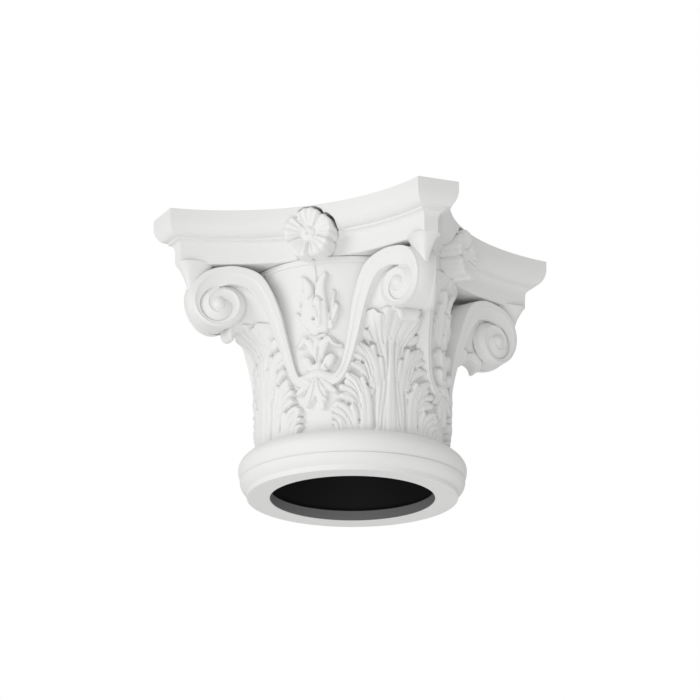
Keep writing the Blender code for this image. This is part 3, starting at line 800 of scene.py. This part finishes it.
def build_sheets(name, relief_at, azimuth, half, low, high):
    carving = bpy.context.scene.carving_settings
    bm = carved_sheet(relief_at, azimuth, half, low, high, carving.cell, carving.relief)
    add_cast_quarters(name, bm, 75)


# Volutes, laid out on an upright sheet that follows the concave side

def sheet_place(along, height, depth):
    """Front of the volutes at depth 0; along is measured from the face's middle."""
    scene = bpy.context.scene
    sizes = scene.capital_sizes
    arc = side_radius(sizes) + scene.volute_sizes.inset
    centre = sizes.abacus_middle + side_radius(sizes)
    angle = np.asarray(along) / arc
    radius = arc + depth
    return np.stack(np.broadcast_arrays(radius * np.sin(angle),
                                        radius * np.cos(angle) - centre, height), 1)


def over_diagonal(points):
    """The same points on the other side of the corner's diagonal plane."""
    return np.stack([-points[:, 1], -points[:, 0], points[:, 2]], 1)


# Rows in a turn of the spiral, from the top and outwards first. Each has the outer edge and its
# depth, the ridge, the inner edge and the depth there, and the drop inside it
TURN_ROWS = 8
SPIRAL = [(47, 0, 39.5, 22.7, 3.6, 11), (40.5, 0.4, 33.6, 23.3, 2.2, 9),
          (34, 2.6, 29.2, 23.5, 1.6, 7.5), (29.8, 4.4, 26.6, 23, 1.4, 6.5),
          (28.8, 4.8, 26, 22, 1.3, 6), (30.2, 5, 25.4, 19, 1.3, 5.5),
          (31.4, 6.4, 24.4, 15.4, 1.2, 5), (28.6, 9, 22, 11.8, 1, 4.6),
          (24.6, 9.5, 17.6, 8.2, 1.2, 4.6), (24.9, 8.2, 15.2, 6.6, 1, 4.4),
          (24.9, 7.2, 13.2, 5.6, 0.8, 4.2), (24.2, 6.2, 12, 4.8, 0.5, 3.8),
          (23.2, 5.6, 11.4, 4.2, 0, 3.2), (20.2, 5.2, 9.8, 2.6, 0, 3), (16.8, 4.8, 8.2, 0.8, 0, 3),
          (12.2, 4.4, 6.4, -1, 0, 3)]


def spiral_row(turn):
    """The spiral's radii and depths after so many turns."""
    place = np.minimum(np.atleast_1d(turn) * TURN_ROWS, len(SPIRAL) - 1)
    return along_curve(np.array(SPIRAL) * MM, place)


# (along, height, half width, depth of the front) from the knot to the top of the volute
RIBBON = [(-2, 125, 4.2, 7), (8, 118.5, 5, 7.4), (19, 116.5, 5.4, 7),
          (28, 122.5, 5.2, 8), (35, 139, 5.2, 11), (44.5, 171.5, 6.6, 10),
          (57.5, 214.5, 9, 4.5), (75, 246.5, 11.5, 0.4), (99, 257, 12, 0)]


# Ridge's share of the ribbon's width; fall to its inner edge, and depths of its two walls;
# and how far the spiral's eye stands in front of the sheet
RIDGE_SHARE = 0.40
RIBBON_FALL = 0.0012
RIBBON_WALL = 0.016
RIBBON_BACK = 0.030
EYE_PROUD = 0.0016
BAND_CELLS = 7


def band_rows():
    """Outer and inner edge, ridge's share, depths at the edges and of the walls, row by row."""
    volute = bpy.context.scene.volute_sizes
    route = np.array(RIBBON) * MM
    rows = []
    for index, (along, height, half, front) in enumerate(route):
        before = route[max(0, index - 1)]
        after = route[min(len(route) - 1, index + 1)]
        ahead = (after[:2] - before[:2]) / hypot(*(after[:2] - before[:2]))
        side = np.array((ahead[1], -ahead[0])) * half
        rows.append((along - side[0], height - side[1], along + side[0], height + side[1],
                     RIDGE_SHARE, front, front, front + RIBBON_FALL, front + RIBBON_WALL,
                     front + RIBBON_BACK))
    for turn in np.arange(0, volute.turns, 1 / 16):
        outer, outer_depth, ridge, inner, inner_depth, drop = spiral_row(turn)[0]
        way = (sin(2 * pi * turn), cos(2 * pi * turn))
        proud = -EYE_PROUD * float(smooth_step(0.8, 1.5, turn))
        rows.append((volute.along + outer * way[0], volute.height + outer * way[1],
                     volute.along + inner * way[0], volute.height + inner * way[1],
                     (outer - ridge) / (outer - inner), outer_depth, proud, proud + inner_depth,
                     proud + drop, volute.wall))
    return np.array(rows)


# Places on the band's section: to the ridge, past it, and the feet of its two walls
SECTION = ((0, 0.03, 0.1, 0.3, 0.5, 0.7, 0.88, 0.97),
           (0, 0.05, 0.12, 0.3, 0.5, 0.7, 0.85, 0.94, 0.98, 1), (1,), (0,))


def band_mesh():
    """The ribbon and the spiral that it rolls into, swept from the knot to the eye."""
    rows = band_rows()
    section = np.array([(part, stretch) for stretch, parts in enumerate(SECTION) for part in parts])
    count = len(section)
    along = (len(rows) - 1) * BAND_CELLS

    def surface(u, v):
        (outer_a, outer_z, inner_a, inner_z, ridge, outer_depth, front, inner_depth, drop,
         back) = along_curve(rows, v * (len(rows) - 1)).T
        step = np.rint(u * count).astype(int) % count
        part, stretch = section[step].T
        outside = stretch == 0
        share = np.where(outside, part * ridge, ridge + part * (1 - ridge))
        slope = outer_depth + (front - outer_depth) * part ** 0.8
        rounding = 0.0010 * np.clip(1 - part / 0.10, 0, 1) ** 2
        dip = 0.0008 * smooth_step(0.0, 0.10, part) + 0.0006 * np.sin(pi * part)
        lip = inner_depth - front - 0.0008
        edge = 0.0008 * np.clip((part - 0.94) / 0.06, 0, 1) ** 2
        inside = front + dip + lip * smooth_step(0.35, 1.0, part) + edge
        depth = np.where(outside, slope + rounding, inside)
        depth = np.where(stretch == 2, np.maximum(drop, depth + 0.002), depth)
        depth = np.where(stretch == 3, np.maximum(back, outer_depth + 0.003), depth)
        share = np.where(stretch == 3, 0.0, share)
        return sheet_place(outer_a + (inner_a - outer_a) * share,
                           outer_z + (inner_z - outer_z) * share, depth)

    return shell(count, along, surface)


def volute_mesh():
    """The solid between a corner's two spirals, with a slightly rounded outer face."""
    volute = bpy.context.scene.volute_sizes

    def front_place(turn, share):
        outer, outer_depth = spiral_row(turn)[:, :2].T
        reach = (outer - 0.0006) * share
        floor = 0.0110 * smooth_step(1.0, 0.8, share) - 0.0092 * smooth_step(0.75, 0.4, share)
        rim = (outer_depth + 0.0010) * smooth_step(0.4, 0.7, share)
        depth = np.maximum(rim, floor)
        angle = 2 * pi * turn
        return sheet_place(volute.along + reach * np.sin(angle),
                           volute.height + reach * np.cos(angle), depth)

    def surface(u, v):
        turn = np.where(u > 0.9999, 0.0, u)
        share = np.clip(np.minimum(v, 1 - v) / 0.3, 0, 1)
        front = front_place(turn, share)
        other = over_diagonal(front)
        across = np.clip((v - 0.3) / 0.4, 0, 1)
        points = front + (other - front) * across[:, None]
        middle = np.hypot(*((front + other) / 2).T[:2])
        bulge = 1 + 0.011 * smooth_step(0.195, 0.225, middle) * 4 * across * (1 - across)
        points[:, :2] *= bulge[:, None]
        return points

    return shell(128, 60, surface)


def boss_mesh():
    volute = bpy.context.scene.volute_sizes
    centre = Vector(sheet_place([volute.along], volute.height, 0.0040)[0])
    bm = bmesh.new()
    bmesh.ops.create_uvsphere(bm, u_segments=32, v_segments=20, radius=volute.boss_radius,
                              matrix=Matrix.Translation(centre))
    return bm


# (height, depth behind the sheet, where the web starts and how far it reaches along it)
WEB = [(166, 24, 44, 96), (180, 23, 48, 104), (192, 21, 52, 112), (206, 17, 57, 118),
       (222, 14, 64, 119.5), (240, 12, 76, 119.5), (252, 12, 88, 119.5), (266, 12, 102, 119.5)]


def web_mesh():
    """The solid behind a corner's ribbons, coved out from the bell to the volutes."""
    sizes = bpy.context.scene.capital_sizes
    cells = 10

    def surface(u, v):
        height, depth, start, reach = read_table(WEB, v).T
        step = np.rint(u * (2 * cells + 3)).astype(int) % (2 * cells + 3)
        share = np.where(step <= cells, step, 2 * cells + 1 - step) / cells
        near = sheet_place(start + (reach - start) * share, height, depth)
        angle = np.arctan2(near[:, 0], -near[:, 1])
        on_bell = round_axis(bell_radius(height) - 0.001, angle, height)
        near += (on_bell - near) * smooth_step(0.206, 0.178, height)[:, None]
        far = over_diagonal(near)
        inner = round_axis(np.full(len(u), sizes.cavity_radius + 0.002), DIAGONAL, height)
        points = np.where((step <= cells)[:, None], near, far)
        return np.where((step == 2 * cells + 2)[:, None], inner, points)

    return shell(2 * cells + 3, 30, surface)


# Tongue from the top down: (height, inner and outer reach, half width) in mm
HORN = [(274, 190, 233.8, 18), (270, 191, 232, 13.5), (264, 192, 228.6, 10.5),
        (256, 193, 225, 8), (247, 194, 222.5, 5.8), (239, 196, 221, 3.8),
        (231, 198, 219.5, 1.6)]


def horn_mesh():
    """The tongue that runs from the abacus's corner down between the volutes."""
    def surface(u, v):
        height, near, far, half = read_table(HORN, v).T
        angle = 2 * pi * u
        out = np.sign(np.cos(angle)) * np.abs(np.cos(angle)) ** 0.6
        aside = np.sign(np.sin(angle)) * np.abs(np.sin(angle)) ** 0.6
        radius = (near + far) / 2 + (far - near) / 2 * out
        points = np.stack([radius, half * aside, height], 1)
        return points @ TO_DIAGONAL

    return shell(32, 30, surface)


# Leaf tip from its root to its end: (reach, height, half width, thickness) in mm
LEAF_TIP = [(125, 168, 14, 5), (128, 179, 20, 6), (132, 188, 22, 8), (139, 194, 22, 11),
            (147, 196, 21, 13), (155, 194.5, 19, 13.5), (160.5, 191, 17, 12), (163, 186, 14, 8),
            (162.5, 181.5, 9, 3)]


def tip_mesh():
    """The fluted top of the corner leaf, curled out under the volutes."""
    step = 0.05 / (len(LEAF_TIP) - 1)

    def surface(u, v):
        radius, height, half, thick = read_table(LEAF_TIP, v).T
        ahead = (read_table(LEAF_TIP, np.minimum(v + step, 1))
                 - read_table(LEAF_TIP, np.maximum(v - step, 0)))[:, :2]
        ahead /= np.linalg.norm(ahead, axis=1)[:, None]
        angle = 2 * pi * u
        across = np.sin(angle)
        under = np.cos(angle)
        flute = 0.0007 * np.cos(across * 5.5 * pi) * (under > 0) * np.clip(4 * under, 0, 1)
        droop = 0.25 * across ** 2
        drop = thick * (0.5 - 0.5 * np.clip(1.4 * under, -1, 1) + droop) - flute
        points = np.stack([radius - ahead[:, 1] * drop, half * across,
                           height + ahead[:, 0] * drop], 1)
        return points @ TO_DIAGONAL

    return shell(64, 64, surface)


def build_corners(context):
    corner = bmesh.new()
    band = band_mesh()
    boss = boss_mesh()
    for part in (mirrored_copy(band), mirrored_copy(boss), band, boss, volute_mesh(), web_mesh(),
                 horn_mesh(), tip_mesh()):
        join_into(corner, part)
    add_cast_quarters("corner_volutes", corner, 38)


# Rosettes; the middle button's share of the radius
BUTTON = 0.30


def rosette_depth(rosette, angle, share):
    """How far the rosette's face lies behind its front at a share of its radius."""
    place = (angle - pi / 2) * rosette.petals / (2 * pi)
    across = place - np.rint(place)
    rise = np.sqrt(np.clip(1 - (share / BUTTON) ** 2, 0, 1))
    dimple = 0.0030 * np.exp(-(share / 0.07) ** 2)
    knob = 0.0062 - 0.0040 * rise + dimple
    ribs = 0.0006 * np.cos(across * 2 * pi * 4) * smooth_step(0.30, 0.60, share)
    notch = 0.0036 * np.exp(-((0.5 - np.abs(across)) / 0.07) ** 2)
    dish = 0.0056 * (np.clip(0.82 - share, 0, 1) / 0.52) ** 1.5
    edge = 0.0030 * smooth_step(0.90, 1.0, share) ** 2
    petal = ribs + notch * smooth_step(0.25, 0.50, share) + dish + edge
    return np.where(share < BUTTON, knob, petal)


def rosette_surface(rosette):
    def surface(u, v):
        angle = 2 * pi * u + pi / 2
        share = np.clip(v / 0.85, 0, 1)
        reach = petal_radius(rosette, angle) * share
        depth = rosette_depth(rosette, angle, share)
        out = rosette.front - depth
        back = v > 0.86
        out = np.where(back, rosette.floor + 0.0003, out)
        reach = np.where(v > 0.99, 0.0, np.where(back, petal_radius(rosette, angle), reach))
        return np.stack([reach * np.cos(angle), -out, rosette.height + reach * np.sin(angle)], 1)
    return surface


def build_rosettes(context):
    bm = shell(200, 60, rosette_surface(context.scene.rosette_sizes))
    for quarter, side in enumerate(FACES):
        title = f"rosette_{side}_petals"
        add_piece(title, mesh_of(title, turned_copy(bm, quarter)), finish_of("painted_rosette"),
                  [f"rosette_{side}"], 45)
    bm.free()


# Stage

def floor_finish():
    finish = Finish("pale_floor")
    cloud = finish.noise(finish.place(), 1.5, 3.0)
    finish.set("Base Color", finish.mix(cloud, (0.86, 0.86, 0.86, 1.0), (0.90, 0.90, 0.90, 1.0)))
    finish.set("Roughness", cloud * 0.1 + 0.7)
    return finish.material


def build_floor(context):
    drop = context.scene.stage_settings.floor_drop
    bm = bmesh.new()
    bmesh.ops.create_circle(bm, cap_ends=True, segments=96, radius=9.0,
                            matrix=Matrix.Translation((0.0, 0.0, -drop)))
    floor = placed("studio_floor", mesh_of("studio_floor", bm))
    floor.data.materials.append(floor_finish())


def add_light(name, energy, place, target, size):
    light = bpy.data.lights.new(name, "AREA")
    light.energy = energy
    light.size = size
    item = placed(name, light)
    item.location = place
    item.rotation_euler = (Vector(target) - Vector(place)).to_track_quat("-Z", "Y").to_euler()


def build_surroundings(context):
    """White surroundings that the camera sees as plain white."""
    settings = context.scene.stage_settings
    world = bpy.data.worlds.new("white_studio")
    world.use_nodes = True
    context.scene.world = world
    tree = world.node_tree
    background = tree.nodes["Background"]
    background.inputs["Color"].default_value = (1.0, 1.0, 1.0, 1.0)
    rays = tree.nodes.new("ShaderNodeLightPath")
    seen = Value(tree, rays.outputs["Is Camera Ray"])
    strength = settings.ambient + seen * (1.0 - settings.ambient)
    tree.links.new(strength.socket, background.inputs["Strength"])
    context.scene.view_settings.view_transform = "Standard"
    add_light("key_light", settings.key, (-2.6, -3.4, 1.2), (0.0, 0.0, 0.17), 2.2)
    add_light("low_light", settings.low, (0.4, -2.2, -2.0), (0.0, 0.0, 0.05), 2.0)


# The photo's camera: lens and sensor in millimetres, place, degrees looking up and round
CAMERA_LENS = 248.9
CAMERA_SENSOR = 36.0
CAMERA_PLACE = (2.064, -5.340, -1.622)
CAMERA_UP = 17.58
CAMERA_ROUND = 21.163


def build_camera(context):
    camera = bpy.data.cameras.new("camera")
    camera.lens = CAMERA_LENS
    camera.sensor_width = CAMERA_SENSOR
    camera.clip_end = 100.0
    item = placed("camera", camera)
    item.location = CAMERA_PLACE
    item.rotation_euler = (radians(90.0 + CAMERA_UP), 0.0, radians(CAMERA_ROUND))
    context.scene.camera = item


# Operators

class AddBody(bpy.types.Operator):
    """Add the ring at the foot, the bell and the wall of the cavity"""
    bl_idname = "capital.add_body"
    bl_label = "Ring and Bell"

    def execute(self, context):
        build_body(context)
        return {"FINISHED"}


class AddAbacus(bpy.types.Operator):
    """Add the moulded abacus with its four recesses"""
    bl_idname = "capital.add_abacus"
    bl_label = "Abacus"

    def execute(self, context):
        build_abacus(context)
        return {"FINISHED"}


class AddCornerLeaves(bpy.types.Operator):
    """Add the acanthus leaf under each corner"""
    bl_idname = "capital.add_corner_leaves"
    bl_label = "Corner Leaves"

    def execute(self, context):
        build_sheets("corner_leaf", leaf_relief, DIAGONAL, *LEAF_SHEET)
        return {"FINISHED"}


class AddFaceOrnaments(bpy.types.Operator):
    """Add the bud, cup and hanging calyx on each face"""
    bl_idname = "capital.add_face_ornaments"
    bl_label = "Face Ornaments"

    def execute(self, context):
        build_sheets("face_ornament", face_relief, 0.0, *FACE_SHEET)
        return {"FINISHED"}


class AddVolutes(bpy.types.Operator):
    """Add each corner's ribbons, volutes, horn and curled leaf tip"""
    bl_idname = "capital.add_volutes"
    bl_label = "Corner Volutes"

    def execute(self, context):
        build_corners(context)
        return {"FINISHED"}


class AddRosettes(bpy.types.Operator):
    """Add the four applied rosettes"""
    bl_idname = "capital.add_rosettes"
    bl_label = "Rosettes"

    def execute(self, context):
        build_rosettes(context)
        return {"FINISHED"}


class AddStage(bpy.types.Operator):
    """Add the pale floor, the soft lights and the camera"""
    bl_idname = "capital.add_stage"
    bl_label = "Studio"

    def execute(self, context):
        build_floor(context)
        build_surroundings(context)
        build_camera(context)
        return {"FINISHED"}


class CapitalPanel(bpy.types.Panel):
    """Sizes, finishes and the operators that build the capital"""
    bl_label = "Corinthian Capital"
    bl_idname = "VIEW3D_PT_capital"
    bl_space_type = "VIEW_3D"
    bl_region_type = "UI"
    bl_category = "Capital"

    def draw(self, context):
        for name in GROUPS:
            box = self.layout.box()
            box.label(text=name.replace("_", " ").capitalize())
            settings = getattr(context.scene, name)
            for key in settings.__annotations__:
                box.prop(settings, key)
        for operator in OPERATORS:
            self.layout.operator(operator.bl_idname)


GROUPS = {
    "capital_sizes": CapitalSizes,
    "volute_sizes": VoluteSizes,
    "carving_settings": CarvingSettings,
    "rosette_sizes": RosetteSizes,
    "capital_finish": CapitalFinish,
    "stage_settings": StageSettings,
}
OPERATORS = (AddStage, AddBody, AddAbacus, AddCornerLeaves, AddFaceOrnaments, AddVolutes,
             AddRosettes)


def register():
    for group in GROUPS.values():
        bpy.utils.register_class(group)
    for operator in OPERATORS:
        bpy.utils.register_class(operator)
    bpy.utils.register_class(CapitalPanel)
    for name, group in GROUPS.items():
        setattr(bpy.types.Scene, name, PointerProperty(type=group))


def unregister():
    for name in GROUPS:
        delattr(bpy.types.Scene, name)
    bpy.utils.unregister_class(CapitalPanel)
    for operator in reversed(OPERATORS):
        bpy.utils.unregister_class(operator)
    for group in reversed(list(GROUPS.values())):
        bpy.utils.unregister_class(group)


def main():
    register()
    for operator in OPERATORS:
        name = operator.bl_idname.split(".")[1]
        getattr(bpy.ops.capital, name)()


if __name__ == "__main__":
    main()
